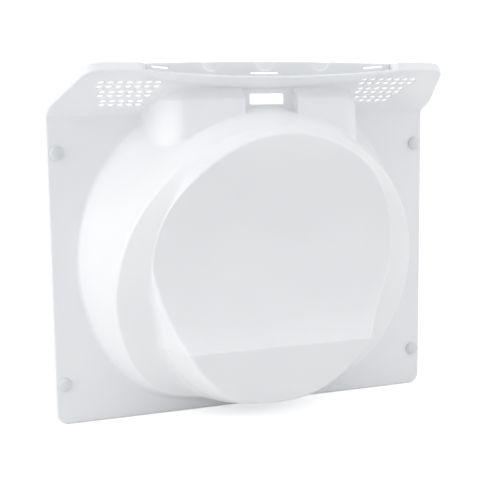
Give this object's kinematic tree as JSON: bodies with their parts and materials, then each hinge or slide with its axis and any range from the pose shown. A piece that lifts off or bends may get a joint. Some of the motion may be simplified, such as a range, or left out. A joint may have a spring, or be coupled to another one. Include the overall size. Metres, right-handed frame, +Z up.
{
  "type": "moulded air duct panel",
  "caption": "White moulded air duct panel: flat plate, sloping vented hood, window box and drum-shaped air chamber, with a lift-out grip strip and push rivets.",
  "frame": {"origin": "middle of the bottom rim's rear edge, in the plane where the rim bears on the appliance", "axes": "+Z up, +X to the panel's right seen from the front, +Y back towards the appliance; the chamber faces -Y"},
  "size_m": [0.46, 0.1419, 0.3995],
  "materials": {
    "white_moulding": "smooth satin moulding, slightly translucent in thin walls",
    "white_strip": "smooth satin moulding",
    "sleeve_nylon": "natural nylon",
    "pin_nylon": "satin nylon"
  },
  "bodies": {
    "panel": {"duct_panel": "white_moulding", "rivet_sleeve_lower_left": "sleeve_nylon", "rivet_sleeve_lower_right": "sleeve_nylon", "rivet_sleeve_upper_left": "sleeve_nylon", "rivet_sleeve_upper_right": "sleeve_nylon"},
    "strip": {"grip_strip": "white_strip"},
    "pin_lower_left": {"rivet_pin_lower_left": "pin_nylon"},
    "pin_lower_right": {"rivet_pin_lower_right": "pin_nylon"},
    "pin_upper_left": {"rivet_pin_upper_left": "pin_nylon"},
    "pin_upper_right": {"rivet_pin_upper_right": "pin_nylon"}
  },
  "joints": [
    {"name": "strip_lift", "type": "slide", "parent": "panel", "child": "strip", "axis": [0, 0, 1], "range_m": [0, 0.03]},
    {"name": "pin_pull_lower_left", "type": "slide", "parent": "panel", "child": "pin_lower_left", "axis": [0, -1, 0], "range_m": [0, 0.01]},
    {"name": "pin_pull_lower_right", "type": "slide", "parent": "panel", "child": "pin_lower_right", "axis": [0, -1, 0], "range_m": [0, 0.01]},
    {"name": "pin_pull_upper_left", "type": "slide", "parent": "panel", "child": "pin_upper_left", "axis": [0, -1, 0], "range_m": [0, 0.01]},
    {"name": "pin_pull_upper_right", "type": "slide", "parent": "panel", "child": "pin_upper_right", "axis": [0, -1, 0], "range_m": [0, 0.01]}
  ]
}
